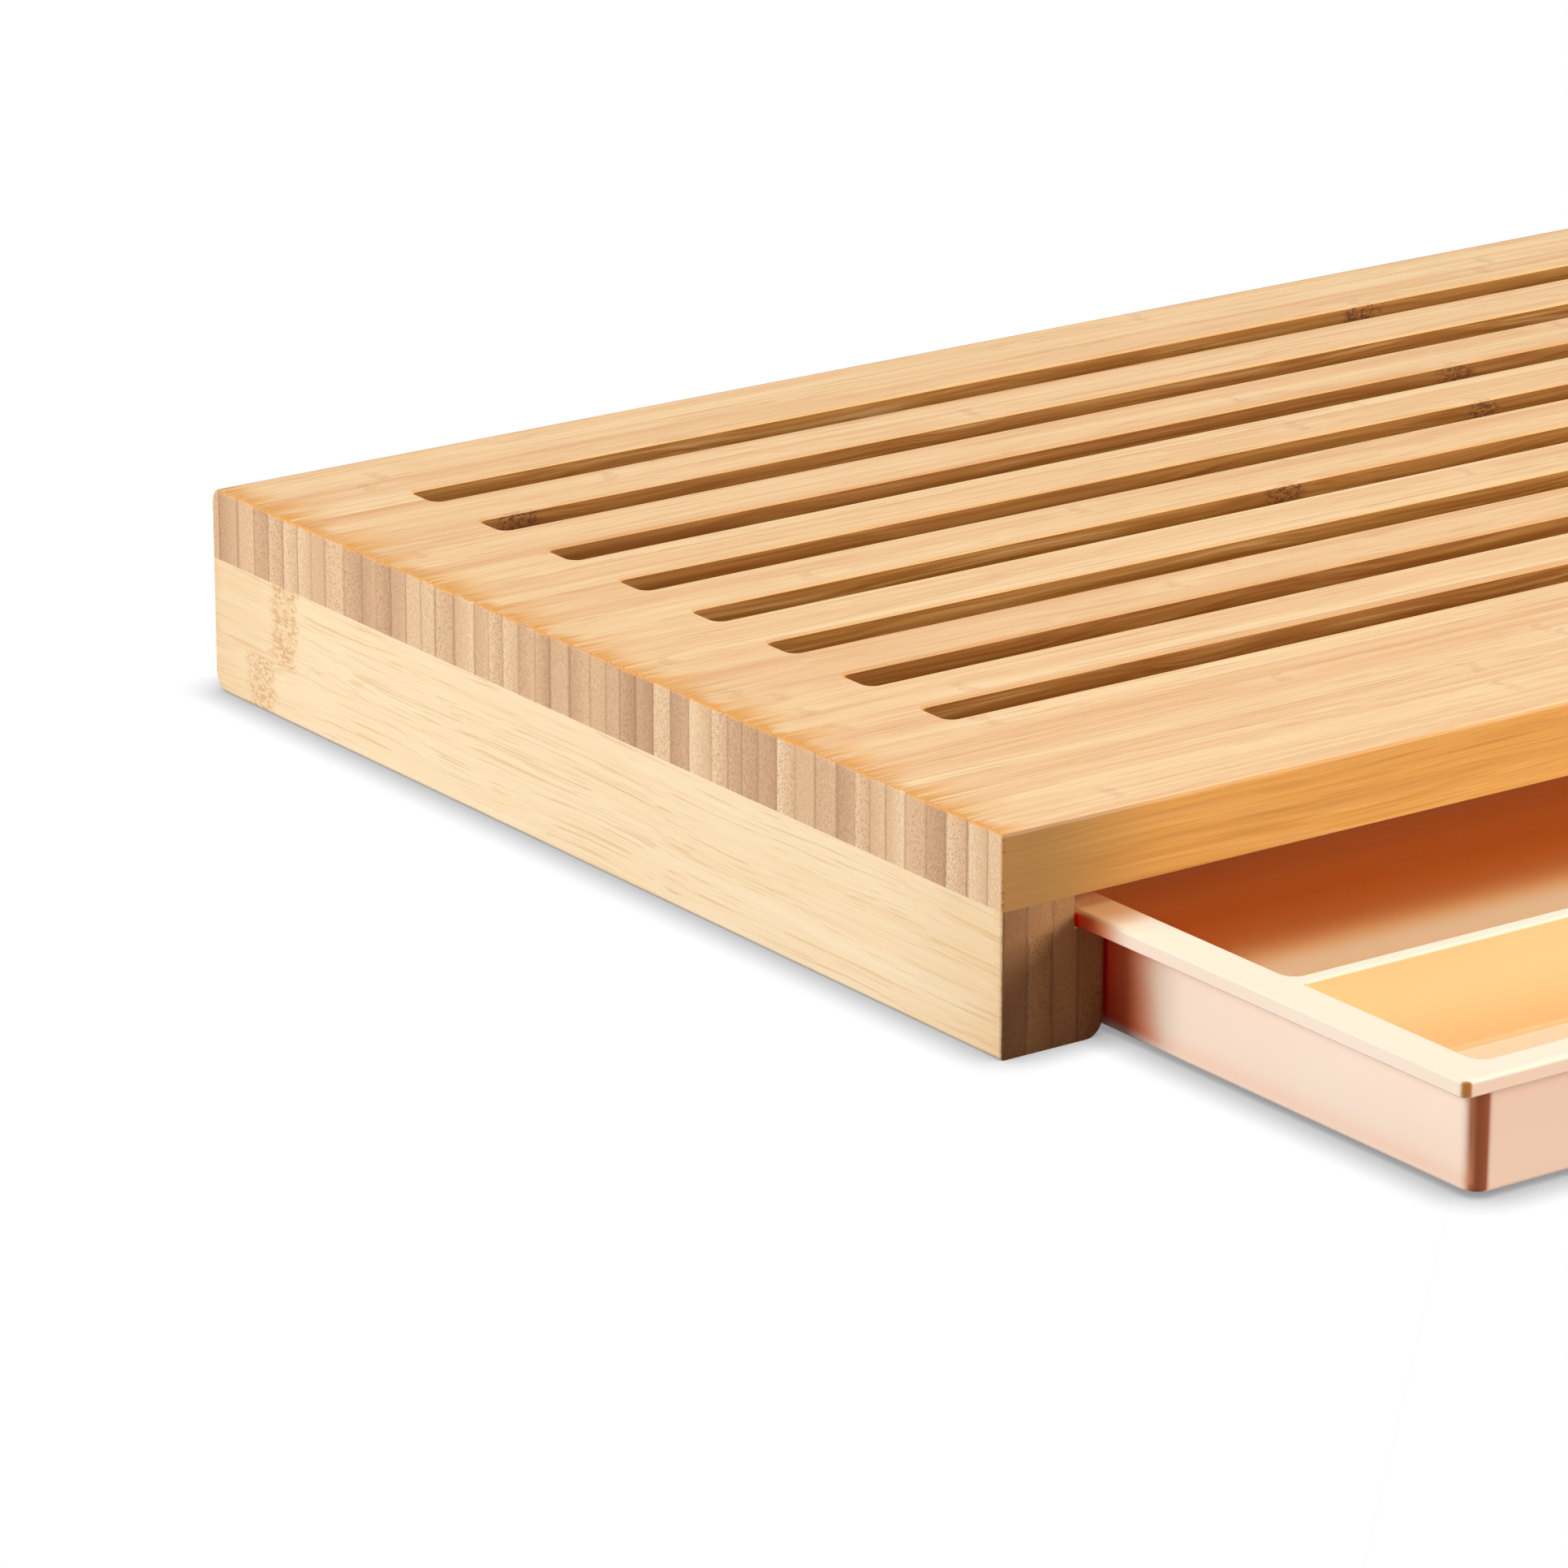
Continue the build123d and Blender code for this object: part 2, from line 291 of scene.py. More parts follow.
    # Thin dark bundles and a paler sheen between them on the long faces.
    long_faces = blended(tree, edge_share, broad, edges)
    dashes = times(tree, rise(tree, strands, 0.53, 0.62), rise(tree, threads, 0.42, 0.58))
    fine = rise(tree, threads, 0.60, 0.68)
    lines = work(tree, "MAXIMUM", dashes, times(tree, fine, 0.7))
    dash_share = between(tree, edge_share, 0.52, 0.42)
    long_faces = blended(tree, times(tree, lines, dash_share), long_faces, bundle_tone)
    glow = times(tree, rise(tree, bands, 0.52, 0.70), fall(tree, strands, 0.36, 0.50))
    long_faces = blended(tree, times(tree, glow, 0.35), long_faces, sheen_tone)

    # A knuckle is a deeper band of short curled marks between two paler ones.
    half_ring = between(tree, edge_share, 0.0058, 0.0018)
    inside = fall(tree, work(tree, "DIVIDE", off, half_ring), 0.5, 1.1)
    curls = cloudy(tree, stretch(tree, moved, (0.0014, 0.0008, 0.0008)), 3.0, 0.75)
    curls = times(tree, inside, rise(tree, curls, 0.46, 0.58))
    halo = times(tree, fall(tree, off, 0.004, 0.012), between(tree, edge_share, 0.16, 0.14))
    halo = times(tree, halo, less(tree, 1.0, within))
    long_faces = blended(tree, halo, long_faces, sheen_tone)
    long_faces = blended(tree, times(tree, inside, 0.10), long_faces, knuckle_tone)
    curl_share = between(tree, edge_share, 0.60, 0.18)
    long_faces = blended(tree, times(tree, curls, curl_share), long_faces, knuckle_tone)

    # Glue lines, between the plies and between strips edge to edge.
    off_middle = work(tree, "ABSOLUTE", less(tree, through, 0.5))
    seam = rise(tree, off_middle, 0.475, 0.5)
    row_seam = rise(tree, work(tree, "ABSOLUTE", less(tree, breadth, 0.5)), 0.490, 0.5)
    both = work(tree, "MAXIMUM", times(tree, seam, edge_share), row_seam)
    long_faces = blended(tree, times(tree, both, 0.20), long_faces, knuckle_tone)

    # Oil has darkened the last of each strip, more in some than in others, and near the ends of the
    # long faces a painted shade darkens them further.
    inward = less(tree, half, work(tree, "ABSOLUTE", less(tree, along, middle)))
    soak = between(tree, strip_draws[1], 0.003, 0.019)
    soaked = fall(tree, work(tree, "DIVIDE", inward, soak), 0.0, 1.0)
    soaked = times(tree, soaked, rise(tree, streaks, 0.36, 0.60))
    long_faces = blended(tree, times(tree, soaked, oil_share), long_faces, oil)
    nicks = rise(tree, scaled(tree, inward, -38.0, strands), 0.38, 0.50)
    nicks = times(tree, nicks, 0.62 * oil_share)
    long_faces = blended(tree, nicks, long_faces, blended(tree, 0.20, oil, stain_and_shade))
    # Darker over the last few centimetres of the long faces towards each end: partly an oil stain,
    # partly painted shade towards the corners.
    end_stain_and_shade = times(tree, fall(tree, inward, 0.004, 0.045), less(tree, 1.0, edge_share))
    long_faces = blended(tree, times(tree, end_stain_and_shade, oil_share), long_faces, stain_and_shade)

    # The ends: bundles of fibres, cut across, closer on one side of each strip.
    bundle = add(tree, "TexVoronoi", {"Vector": stretch(tree, moved, (0.002, 0.00075, 0.00075)),
                                      "Scale": 1.0}, feature="F1").outputs["Distance"]
    dots = fall(tree, bundle, 0.10, 0.45)
    thick = rise(tree, scaled(tree, lean, through, strip_draws[1]), 0.0, 1.2)
    dots = times(tree, dots, between(tree, thick, 0.08, 0.50))
    cut = blended(tree, dots, cut, pits_tone)
    end_seam = rise(tree, off_middle, 0.38, 0.5)
    end_seam = times(tree, end_seam, between(tree, strip_draws[0], 0.2, 1.0))
    cut = blended(tree, times(tree, end_seam, 0.58), cut, pits_tone)
    colour = blended(tree, end_share, long_faces, cut)

    # The eased edges round the ends, where the strips splinter a little.
    corner = times(tree, squares[0], less(tree, 1.0, squares[0]))
    corner = times(tree, rise(tree, corner, 0.01, 0.09), rise(tree, strands, 0.34, 0.52))
    corner = times(tree, corner, between(tree, strip_draws[2], 0.2, 1.2))
    colour = blended(tree, times(tree, corner, oil_share), colour, oil)
    # The slots' walls get a painted shade, darker further from the mouth, with knuckle marks as dark as
    # the shade there.
    if slotted:
        deep = fall(tree, up, slots_to[2] - slot_mouth, slots_to[2])
        wall_shade_share = times(tree, between(tree, deep, 0.80, 1.05), between(tree, strands, 0.20, 1.80))
        wall_shade_share = times(tree, within, wall_shade_share)
        colour = blended(tree, wall_shade_share, colour, painted_wall_shade, "MULTIPLY")
        knots = times(tree, within, times(tree, curls, 0.85))
        colour = blended(tree, knots, colour, tone(88, 46, 14))

    # A satin surface that the open fibres roughen.
    gloss = between(tree, streaks, 0.38, 0.60)
    gloss = scaled(tree, end_share, 0.16, gloss)
    surface.inputs["Specular IOR Level"].default_value = 0.36
    height = scaled(tree, threads, 0.5, times(tree, streaks, 0.5))
    height = less(tree, height, times(tree, end_seam, 0.35))
    height = less(tree, height, times(tree, dots, end_share))
    cover(tree, surface, colour, gloss, height, strength=0.35, depth=0.00025)
    return material


slab_broad = ((0.0, (184, 126, 56)), (0.45, (212, 151, 70)), (1.0, (232, 184, 104)))
slab_edges = ((0.0, (226, 168, 116)), (0.35, (241, 194, 145)),
              (0.62, (248, 210, 161)), (1.0, (254, 226, 180)))
slab_cut = ((0.0, (188, 145, 110)), (0.45, (216, 175, 136)),
            (0.75, (230, 192, 151)), (1.0, (243, 213, 172)))
slab_marks = (tone(146, 100, 66), tone(200, 142, 82), tone(254, 228, 186), tone(192, 124, 68))
slot_wall_shade = (0.44, 0.28, 0.02, 1.0)
slab_low, slab_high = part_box("cutting_board")
margin_side, margin_front, margin_back = 0.032, 0.060, 0.027
slots_low = (slab_low.x + margin_side, slab_low.y + margin_front, 0.0)
slots_high = (slab_high.x - margin_side, slab_high.y - margin_back, slab_high.z)
slab_bamboo = bamboo(
    "slab_strips", (0, 1, 2), (slab_broad, slab_edges, slab_cut), slab_marks,
    ply_start=slab_low.y - 0.0002, uneven=0.16, strip_height=0.08, joint_at=0.0, joint_layer=0,
    knuckle_at=0.15, scatter=1.0, middle=0.0, half=slab_high.x,
    oil=tone(230, 160, 72), stain_and_shade=tone(150, 104, 52), oil_share=0.80,
    slotted=(slots_low, slots_high, slot_wall_shade))


def dress(node, material):
    """Gives a carried-over solid its material."""
    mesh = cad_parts[node].data
    mesh.materials.clear()
    mesh.materials.append(material)


dress("cutting_board", slab_bamboo)


# The side rails and the rear rail. Each is laid up of four or two plies of
# flat bamboo strip, which the front ends show on edge, and is milled to its
# section after gluing.
rail_broad = ((0.0, (240, 202, 152)), (0.35, (250, 220, 177)),
              (0.65, (252, 228, 190)), (1.0, (255, 236, 204)))
rail_edges = ((0.0, (206, 156, 100)), (0.5, (232, 188, 130)), (1.0, (246, 212, 160)))
rail_cut = ((0.0, (130, 84, 44)), (0.5, (150, 101, 56)), (1.0, (172, 121, 72)))
rail_marks = (tone(84, 54, 32), tone(222, 174, 112), tone(255, 234, 196), tone(212, 142, 66))
rail_oil = {"oil": tone(226, 174, 104), "stain_and_shade": tone(226, 186, 132), "oil_share": 0.30}
rail_strip = 0.0185
rail_low, rail_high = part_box("right_rail")
rail_bamboo = bamboo(
    "rail_strips", (1, 0, 2), (rail_broad, rail_edges, rail_cut), rail_marks,
    ply_start=rail_high.x - 0.0239, uneven=0.0, strip_height=rail_strip, joint_at=0.0118,
    joint_layer=3, knuckle_at=0.1770, scatter=0.0, middle=(rail_low.y + rail_high.y) / 2,
    half=(rail_high.y - rail_low.y) / 2, mirrored=True, **rail_oil)
dress("left_rail", rail_bamboo)
dress("right_rail", rail_bamboo)

rear_low, rear_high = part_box("rear_rail")
rear_bamboo = bamboo(
    "rear_rail_strips", (0, 1, 2), (rail_broad, rail_edges, rail_cut), rail_marks,
    ply_start=rear_low.y - 0.0001, uneven=0.0, strip_height=rail_strip, joint_at=0.012,
    joint_layer=1, knuckle_at=0.04, scatter=1.0, middle=0.0, half=rear_high.x, **rail_oil)
dress("rear_rail", rear_bamboo)


# The dowels. They are fluted beech pegs with chamfered ends, cut to length,
# glued into blind holes between the slab, the side rails and the rear rail.
def beech(name, lengths):
    """Plain beech, with short brown flecks along the peg."""
    material, tree, surface = blank(name)
    place = add(tree, "TexCoord").outputs["Object"]
    rings = cloudy(tree, stretch(tree, place, lengths), 3.0, 0.6)
    flecks = cloudy(tree, stretch(tree, place, tuple(length / 6 for length in lengths)), 1.0)
    colour = shades(tree, rings, ((0.25, (196, 150, 106)), (0.5, (216, 172, 126)),
                                  (0.75, (229, 190, 146))))
    colour = blended(tree, times(tree, rise(tree, flecks, 0.60, 0.68), 0.5), colour,
                     tone(150, 100, 62))
    cover(tree, surface, colour, between(tree, rings, 0.5, 0.7), rings, strength=0.3, depth=0.0002)
    return material


def peg_tree():
    """A Geometry Nodes tree for rows of fluted pegs. A peg stands on Z before it is turned."""
    tree = bpy.data.node_groups.new("fluted_pegs", "GeometryNodeTree")
    face = tree.interface
    for name, kind in (("Columns", "Int"), ("Column Step", "Vector"), ("Rows", "Int"),
                       ("Row Step", "Vector"), ("First Peg", "Vector"), ("Turn", "Vector"),
                       ("Radius", "Float"), ("Length", "Float"), ("Flutes", "Int"),
                       ("Flute Depth", "Float"), ("Chamfer", "Float"), ("Material", "Material")):
        face.new_socket(name, in_out="INPUT", socket_type="NodeSocket" + kind)
    face.new_socket("Pegs", in_out="OUTPUT", socket_type="NodeSocketGeometry")
    given = tree.nodes.new("NodeGroupInput").outputs
    result = tree.nodes.new("NodeGroupOutput")

    def step(kind, sockets=(), **settings):
        return new_node(tree, kind, sockets, **settings).outputs

    # One peg: six corners to a flute, with its grooves and its tapered ends.
    corners = times(tree, given["Flutes"], 6.0)
    peg = step("GeometryNodeMeshCylinder", {"Vertices": corners, "Side Segments": 24,
                                            "Radius": given["Radius"], "Depth": given["Length"]})[0]
    spot = step("ShaderNodeSeparateXYZ", {0: step("GeometryNodeInputPosition")[0]})
    angle = work(tree, "ARCTAN2", spot[1], spot[0])
    wave = work(tree, "COSINE", times(tree, angle, given["Flutes"]))
    groove = times(tree, scaled(tree, wave, 0.5, 0.5), given["Flute Depth"])
    half = times(tree, given["Length"], 0.5)
    left = less(tree, half, work(tree, "ABSOLUTE", spot[2]))
    taper = work(tree, "MAXIMUM", less(tree, given["Chamfer"], left), 0.0)
    inward = work(tree, "DIVIDE", plus(tree, groove, times(tree, taper, 0.6)), given["Radius"])
    share = less(tree, 1.0, inward)
    shaped = step("ShaderNodeCombineXYZ", {0: times(tree, spot[0], share),
                                           1: times(tree, spot[1], share), 2: spot[2]})[0]
    peg = step("GeometryNodeSetPosition", {"Geometry": peg, "Position": shaped})[0]

    # The pegs in their columns and rows.
    columns = step("GeometryNodeMeshLine", {"Count": given["Columns"], "Offset": given["Column Step"],
                                            "Start Location": given["First Peg"]})[0]
    row = step("GeometryNodeMeshLine", {"Count": given["Rows"], "Offset": given["Row Step"]})[0]
    row = step("GeometryNodeInstanceOnPoints", {"Points": row, "Instance": peg,
                                                "Rotation": given["Turn"]})[0]
    row = step("GeometryNodeRealizeInstances", {0: row})[0]
    pegs = step("GeometryNodeInstanceOnPoints", {"Points": columns, "Instance": row})[0]
    pegs = step("GeometryNodeRealizeInstances", {0: pegs})[0]
    pegs = step("GeometryNodeSetMaterial", {0: pegs, "Material": given["Material"]})[0]
    tree.links.new(pegs, result.inputs[0])
    return tree


def plain_mesh(piece):
    """The object's finished shape as its own mesh, with no modifier left."""
    graph = bpy.context.evaluated_depsgraph_get()
    finished = bpy.data.meshes.new_from_object(piece.evaluated_get(graph))
    finished.name = piece.name
    piece.modifiers.clear()
    piece.data = finished


def pegs(name, tree, node, **values):
    """One group of pegs, which stands for its node."""
    piece = bpy.data.objects.new(name, bpy.data.meshes.new(name))
    bpy.context.scene.collection.objects.link(piece)
    rows = piece.modifiers.new("pegs", "NODES")
    rows.node_group = tree
    sockets = {item.name: item.identifier
               for item in tree.interface.items_tree if item.in_out == "INPUT"}
    for label, value in values.items():
        rows[sockets[label.replace("_", " ")]] = value
    plain_mesh(piece)
    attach(piece, "board")
    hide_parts(node)


upright_beech = beech("upright_beech", (0.0018, 0.0018, 0.016))
level_beech = beech("level_beech", (0.016, 0.0018, 0.0018))
fluted_pegs = peg_tree()
for name in ("left_rail", "right_rail"):
    low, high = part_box(name + "_dowels")
    radius = (high.x - low.x) / 2
    pegs(name + "_fluted_dowels", fluted_pegs, name + "_dowels",
         Columns=3, Column_Step=(0.0, (high.y - low.y - 2 * radius) / 2, 0.0), Rows=1,
         First_Peg=((low.x + high.x) / 2, low.y + radius, (low.z + high.z) / 2),
         Radius=radius, Length=high.z - low.z, Flutes=18, Flute_Depth=0.0003, Chamfer=0.0012,
         Material=upright_beech)

thin_radius, corner_length = 0.003, 0.030
thin = {"Radius": thin_radius, "Flutes": 14, "Flute_Depth": 0.00025, "Chamfer": 0.001}
low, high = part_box("rear_rail_dowels")
pegs("rear_rail_fluted_dowels", fluted_pegs, "rear_rail_dowels",
     Columns=3, Column_Step=((high.x - low.x) / 2 - thin_radius, 0.0, 0.0), Rows=1,
     First_Peg=(low.x + thin_radius, (low.y + high.y) / 2, (low.z + high.z) / 2),
     Length=high.z - low.z, Material=upright_beech, **thin)
low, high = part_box("corner_dowels")
pegs("corner_fluted_dowels", fluted_pegs, "corner_dowels",
     Columns=2, Column_Step=(high.x - low.x - corner_length, 0.0, 0.0),
     Rows=2, Row_Step=(0.0, 0.0, high.z - low.z - 2 * thin_radius),
     First_Peg=(low.x + corner_length / 2, (low.y + high.y) / 2, low.z + thin_radius),
     Turn=(0.0, math.pi / 2, 0.0), Length=corner_length, Material=level_beech, **thin)


# The tray. It is one moulding of cream plastic: a rim with its lip turned
# down, a body with a little draft, and a crumb and a knife compartment with
# rounded mouths and floors. It hangs by the rim and slides in the rails.
def outline(sides, radii, inset, height, sharpest=0.0003, steps=10):
    """A rounded oblong, this far inside its sides, from its back right corner round by the
    left. sides are its half width, its front and its back, and radii those of the front
    and back corners of the sides."""
    half_width, front, back = sides[0] - inset, sides[1] + inset, sides[2] - inset
    front_radius, back_radius = (max(radius - inset, sharpest) for radius in radii)
    corners = ((1, back, back_radius), (-1, back, back_radius),
               (-1, front, front_radius), (1, front, front_radius))
    points = []
    for corner, (side, end, radius) in enumerate(corners):
        middle = Vector((side * (half_width - radius), end + (radius if end == front else -radius)))
        for count in range(steps + 1):
            angle = (corner + count / steps) * math.pi / 2
            points.append((middle.x + radius * math.cos(angle),
                           middle.y + radius * math.sin(angle), height))
    return points


def solid(name, rings):
    """A closed mesh through rings of points, capped at both ends."""
    shape = bmesh.new()
    loops = [[shape.verts.new(point) for point in ring] for ring in rings]
    for below, above in zip(loops, loops[1:]):
        for i in range(len(below)):
            shape.faces.new((below[i - 1], below[i], above[i], above[i - 1]))
    shape.faces.new(loops[0])
    shape.faces.new(loops[-1])
    bmesh.ops.recalc_face_normals(shape, faces=shape.faces)
    mesh = bpy.data.meshes.new(name)
    shape.to_mesh(mesh)
    shape.free()
    made = bpy.data.objects.new(name, mesh)
    bpy.context.scene.collection.objects.link(made)
    return made


def quarter(steps=6):
    """Shares across and up for a quarter round, from its side to its top."""
    for count in range(steps + 1):
        angle = count / steps * math.pi / 2
        yield 1 - math.cos(angle), math.sin(angle)


tray_low, tray_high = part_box("crumb_tray")
rim_front, rim_back, rim_top = tray_low.y, tray_high.y, tray_high.z
draft = math.tan(math.radians(1.0))
overrun = 0.001

# The rim and its lip, from the flange's underside down inside the lip, up and over.
rim_corner, rim_round, flange = 0.0020, 0.0008, 0.0020
lip_height, lip_thickness, lip_ease = 0.0034, 0.0020, 0.0003
lip_bottom = rim_top - lip_height
rim_profile = [(lip_thickness, rim_top - flange), (lip_thickness, lip_bottom + lip_ease),
               (lip_thickness - lip_ease, lip_bottom), (lip_ease, lip_bottom),
               (0.0, lip_bottom + lip_ease)]
rim_profile += [(rim_round * across, rim_top - rim_round * (1 - up)) for across, up in quarter()]
rim_sides = (tray_high.x, rim_front, rim_back)
tray = solid("moulded_crumb_tray", [outline(rim_sides, (rim_corner, rim_corner), inset, height)
                                    for inset, height in rim_profile])

# The body, which narrows downwards and is rounded underneath.
overhang, body_half, body_corner, foot_round = 0.005, 0.185, 0.0045, 0.0009
body_front, body_back = rim_front + overhang, rim_back - overhang
body_sides = (body_half, body_front, body_back)
body_profile = [(foot_round * across, tray_low.z + foot_round * (1 - up))
                for across, up in reversed(list(quarter()))]
body_profile.append((0.0, rim_top - flange / 2))


def drafted(sides, radii, profile, sharpest=0.0003):
    """Outlines that lie further in the lower they are."""
    return [outline(sides, radii, inset + (rim_top - height) * draft, height, sharpest)
            for inset, height in profile]


# The low foot round the edge, which a recess underneath leaves.
foot_height, foot_width, foot_corner, foot_ease = 0.0016, 0.0030, 0.0015, 0.0008
foot_inset = foot_width + (rim_top - tray_low.z) * draft
foot_top = tray_low.z + foot_height
foot_sides = (body_half - foot_inset, body_front + foot_inset, body_back - foot_inset)
foot_profile = [(0.0, tray_low.z - overrun)]
foot_profile += [(foot_ease * across, foot_top - foot_ease * (1 - up)) for across, up in quarter()]
foot_rings = [outline(foot_sides, (foot_corner, foot_corner), inset, height)
              for inset, height in foot_profile]

# The two compartments, with a divider between them.
wall, floor_thickness, mouth_round, floor_round = 0.0020, 0.0022, 0.0006, 0.0014
pocket_corner, divider_corner, sharpest_pocket = 0.0030, 0.0012, 0.0004
divider_back = rim_front + 0.060
divider_front = divider_back - 0.0034


def pocket(name, front, back, radii):
    """What is taken out of the tray for one compartment, with its rounded mouth."""
    sides = (body_half - wall, front, back)
    floor = foot_top + floor_thickness
    profile = [(floor_round * (1 - up), floor + floor_round * across) for across, up in quarter()]
    profile += [(-mouth_round * across, rim_top - mouth_round * (1 - up)) for across, up in quarter()]
    rings = drafted(sides, radii, profile, sharpest_pocket)
    rings.append(outline(sides, radii, -mouth_round, rim_top + overrun))
    return solid(name, rings)


crumb_corners, knife_corners = (pocket_corner, pocket_corner), (pocket_corner, divider_corner)
tools = (
    ("UNION", solid("body", drafted(body_sides, (body_corner, body_corner), body_profile))),
    ("DIFFERENCE", pocket("crumb_pocket", divider_back, body_back - wall, crumb_corners)),
    ("DIFFERENCE", pocket("knife_pocket", body_front + wall, divider_front, knife_corners)),
    ("DIFFERENCE", solid("foot_recess", foot_rings)),
)
for operation, tool in tools:
    cut = tray.modifiers.new(tool.name, "BOOLEAN")
    cut.operation = operation
    cut.solver = "EXACT"
    cut.object = tool
plain_mesh(tray)
for _, tool in tools:
    bpy.data.objects.remove(tool)
tray.data.shade_smooth()
tray.data.set_sharp_from_angle(angle=math.radians(35))
even = tray.modifiers.new("even_shading", "WEIGHTED_NORMAL")
even.keep_sharp = True
even.weight = 100
plain_mesh(tray)


def moulded(name):
    """Cream moulded plastic, satin, with faint flow marks and fine scuffs on the level faces.
    It has a painted shade, deeper and warmer at its corners, and where it faces itself or the wood."""
    material, tree, surface = blank(name)
    coordinates = add(tree, "TexCoord")
    place = coordinates.outputs["Object"]
    x, y, z = add(tree, "SeparateXYZ", {0: place}).outputs
    flow = cloudy(tree, stretch(tree, place, (0.09, 0.05, 0.03)), 2.0)
    skin = cloudy(tree, stretch(tree, place, (0.0011, 0.0011, 0.0011)), 2.0)
    scuffs = cloudy(tree, stretch(tree, place, (0.012, 0.0006, 0.0006)), 2.0, 0.6)
    facing = add(tree, "SeparateXYZ", {0: coordinates.outputs["Normal"]}).outputs
    level = rise(tree, facing[2], 0.75, 0.98)

    # How open a place is, all round it and on the side towards the board.
    near = add(tree, "AmbientOcclusion", {"Distance": 0.040}, samples=48).outputs["AO"]
    normal = add(tree, "NewGeometry").outputs["Normal"]
    backward = add(tree, "VectorMath", {0: normal, 1: (0.0, 1.3, 0.0)}, operation="ADD").outputs[0]
    behind = add(tree, "AmbientOcclusion", {"Distance": 0.018, "Normal": backward},
                 samples=20).outputs["AO"]

    # Down in the compartments, and not on the outside or underneath. The change of colour
    # lies within the walls' thickness.
    outer, inner = 0.90 * wall, 0.975 * wall
    sunk = fall(tree, z, rim_top - 0.0007, rim_top - 0.0001)
    sunk = times(tree, sunk, rise(tree, z, tray_low.z + 0.0024, tray_low.z + 0.0032))
    width = work(tree, "ABSOLUTE", x)
    sunk = times(tree, sunk, fall(tree, width, body_half - inner, body_half - outer))
    sunk = times(tree, sunk, rise(tree, y, body_front + outer, body_front + inner))
    sunk = times(tree, sunk, fall(tree, y, body_back - inner, body_back - outer))

    # The outside: darker and pinker on the faces towards the front and the back, a painted shade, pale
    # on the rim, and a painted brown shade on the rounded corners.
    ahead = times(tree, facing[1], facing[1])
    sideways = times(tree, facing[0], facing[0])
    outside = shades(tree, flow, ((0.3, (254, 229, 208)), (0.7, (254, 235, 215))))
    outside = blended(tree, times(tree, ahead, 0.8), outside, tone(234, 194, 164))
    rim_shade = rise(tree, z, rim_top - 0.0012, rim_top - 0.0002)
    colour = blended(tree, rim_shade, outside, tone(252, 234, 210))
    corner = scaled(tree, less(tree, ahead, sideways), 0.8, 1.0)
    corner = rise(tree, times(tree, corner, times(tree, ahead, sideways)), 0.0, 0.14)
    on_lip = rise(tree, z, lip_bottom - 0.0006, lip_bottom)
    corner_shade = blended(tree, on_lip, tone(164, 76, 26), tone(204, 128, 40))
    colour = blended(tree, times(tree, corner, 0.95), colour, corner_shade)

    # Painted shade, warm and deep red, where the rails and the slab are close behind a place.
    shaded = shades(tree, behind, ((0.08, (248, 22, 2)), (0.26, (250, 124, 68)),
                                   (0.60, (254, 204, 166))))
    shaded = blended(tree, rim_shade, shaded, tone(214, 158, 104))
    screened = times(tree, fall(tree, behind, 0.32, 0.66), fall(tree, ahead, 0.2, 0.6))
    screened = times(tree, screened, rise(tree, z, tray_low.z, tray_low.z + 0.0026))
    colour = blended(tree, screened, colour, shaded)

    # The inside, in painted shade: a pale knife compartment, its walls a deeper orange than its floor,
    # and a crumb compartment that is painted darker and redder the more it is closed in.
    in_crumb = rise(tree, y, divider_back - 0.0020, divider_back - 0.0014)
    knife = blended(tree, level, tone(250, 197, 138), tone(248, 230, 200))
    beside = fall(tree, y, divider_back, divider_back + 0.020)
    open_share = swung(tree, near, (beside, 0.10))
    crumb = shades(tree, open_share, (
        (0.05, (124, 14, 0)), (0.26, (176, 52, 0)), (0.33, (220, 122, 44)), (0.43, (230, 144, 78)),
        (0.54, (255, 204, 138)), (0.64, (255, 226, 182)), (0.74, (250, 214, 164)),
        (0.88, (234, 196, 148))))
    inside = blended(tree, in_crumb, knife, crumb)
    colour = blended(tree, sunk, colour, inside)

    # Fine scuffs and a satin gloss.
    worn = times(tree, rise(tree, scuffs, 0.60, 0.70), level)
    colour = blended(tree, times(tree, worn, 0.08), colour, tone(255, 244, 230))
    gloss = scaled(tree, worn, 0.14, between(tree, flow, 0.40, 0.48))
    surface.inputs["Specular IOR Level"].default_value = 0.22
    cover(tree, surface, colour, gloss, skin, strength=0.12, depth=0.0001)
    return material


tray.data.materials.clear()
tray.data.materials.append(moulded("cream_moulding"))
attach(tray, "tray")
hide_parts("crumb_tray")


# The studio: a wide pale floor, a large soft lamp on each side of the view,
# one overhead, and a weak even light all round.
floor_mesh = bpy.data.meshes.new("floor")
floor_half = 20.0
floor_corners = [(x * floor_half, y * floor_half, 0.0) for x, y in ((-1, -1), (1, -1), (1, 1), (-1, 1))]
floor_mesh.from_pydata(floor_corners, [], [(0, 1, 2, 3)])
floor = bpy.data.objects.new("floor", floor_mesh)
bpy.context.scene.collection.objects.link(floor)
floor_paint, tree, surface = blank("floor_paint")
tree.nodes.remove(surface)
seen = add(tree, "LightPath")
direct = work(tree, "MAXIMUM", seen.outputs["Is Camera Ray"], seen.outputs["Is Glossy Ray"])
direct = work(tree, "MAXIMUM", direct, seen.outputs["Is Transmission Ray"])
unseen = add(tree, "BsdfDiffuse", {"Color": (0.32, 0.32, 0.32, 1.0)})
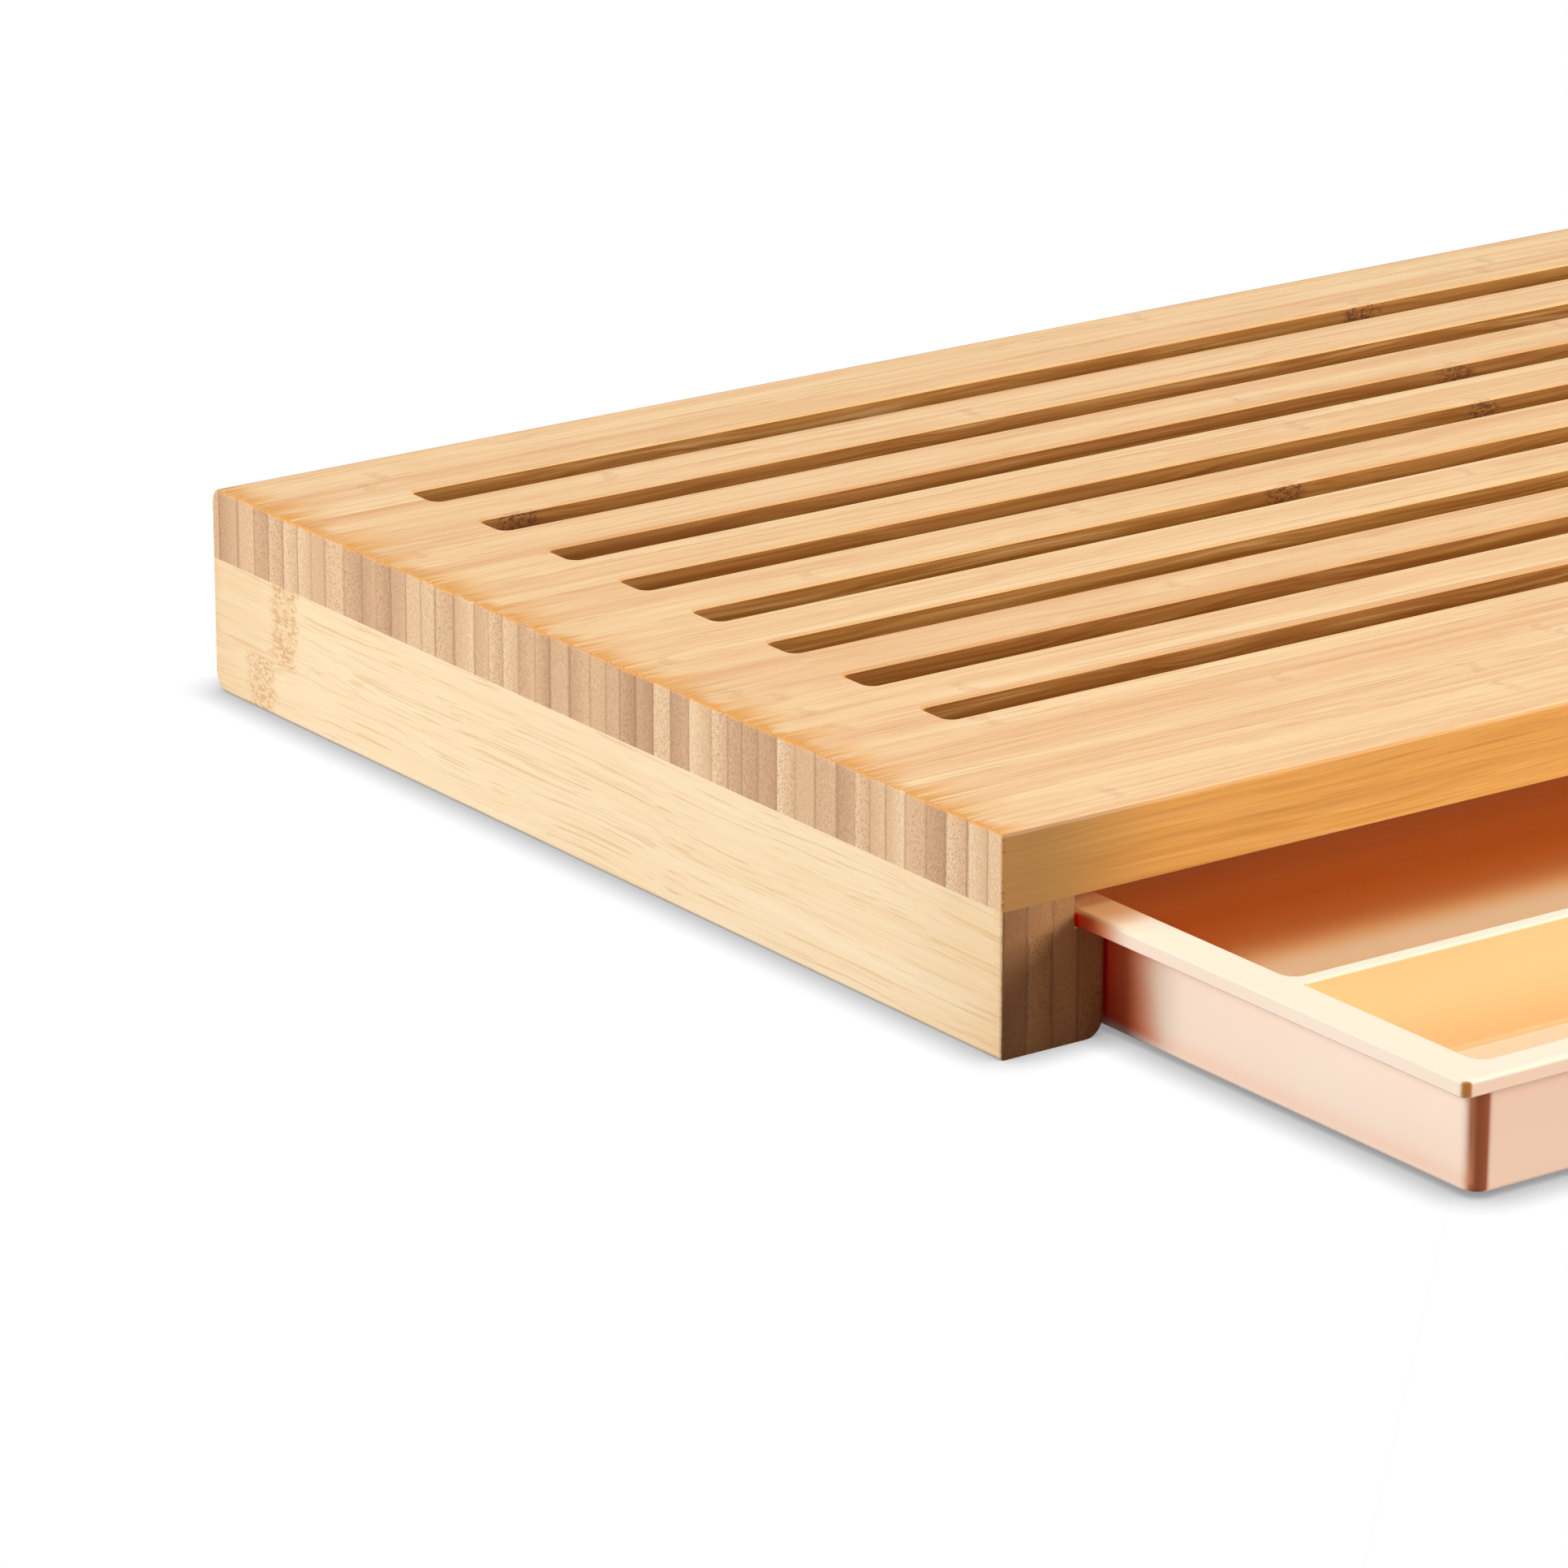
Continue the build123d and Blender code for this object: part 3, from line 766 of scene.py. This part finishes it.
# For the camera the floor glows white, dimmed where the object is close above it: a painted contact
# shadow.
nearby = add(tree, "AmbientOcclusion", {"Distance": 0.0090}, samples=16).outputs["AO"]
shade = work(tree, "POWER", between(tree, nearby, 0.54, 1.0), 2.2)
white = add(tree, "Emission", {"Color": (1.0, 1.0, 1.0, 1.0), "Strength": shade})
mix = add(tree, "MixShader", {0: direct, 1: unseen.outputs[0], 2: white.outputs[0]})
tree.links.new(mix.outputs[0], tree.nodes["Material Output"].inputs[0])
floor_mesh.materials.append(floor_paint)

world = bpy.data.worlds.new("studio")
bpy.context.scene.world = world
world.use_nodes = True
tree = world.node_tree
sky = tree.nodes["Background"]
seen = add(tree, "LightPath")
direct = work(tree, "MAXIMUM", seen.outputs["Is Camera Ray"], seen.outputs["Is Transmission Ray"])
even_light = add(tree, "Background", {"Color": (1.0, 1.0, 1.0, 1.0), "Strength": 0.12})
sky.inputs["Color"].default_value = (1.0, 1.0, 1.0, 1.0)
sky.inputs["Strength"].default_value = 1.0
mix = add(tree, "MixShader", {0: direct, 1: even_light.outputs[0], 2: sky.outputs[0]})
tree.links.new(mix.outputs[0], tree.nodes["World Output"].inputs[0])


def lamp(name, azimuth, elevation, distance, width, height, power):
    """A soft rectangular lamp, aimed at the middle of the object."""
    aim = Vector((0.0, 0.0, 0.02))
    data = bpy.data.lights.new(name, "AREA")
    data.shape = "RECTANGLE"
    data.size, data.size_y, data.energy = width, height, power
    turned, raised = math.radians(azimuth), math.radians(elevation)
    towards = Vector((math.sin(turned) * math.cos(raised), -math.cos(turned) * math.cos(raised),
                      math.sin(raised)))
    made = bpy.data.objects.new(name, data)
    made.location = aim + towards * distance
    made.rotation_mode = "QUATERNION"
    made.rotation_quaternion = (-towards).to_track_quat("-Z", "Y")
    made.visible_camera = False
    bpy.context.scene.collection.objects.link(made)


lamp("left_softbox", -114, 22, 2.8, 1.3, 0.9, 67.0)
lamp("right_softbox", 38, 18, 2.2, 1.1, 0.8, 52.0)
lamp("overhead_softbox", 20, 76, 1.7, 1.3, 1.3, 13.5)

bpy.context.scene.view_settings.view_transform = "Standard"
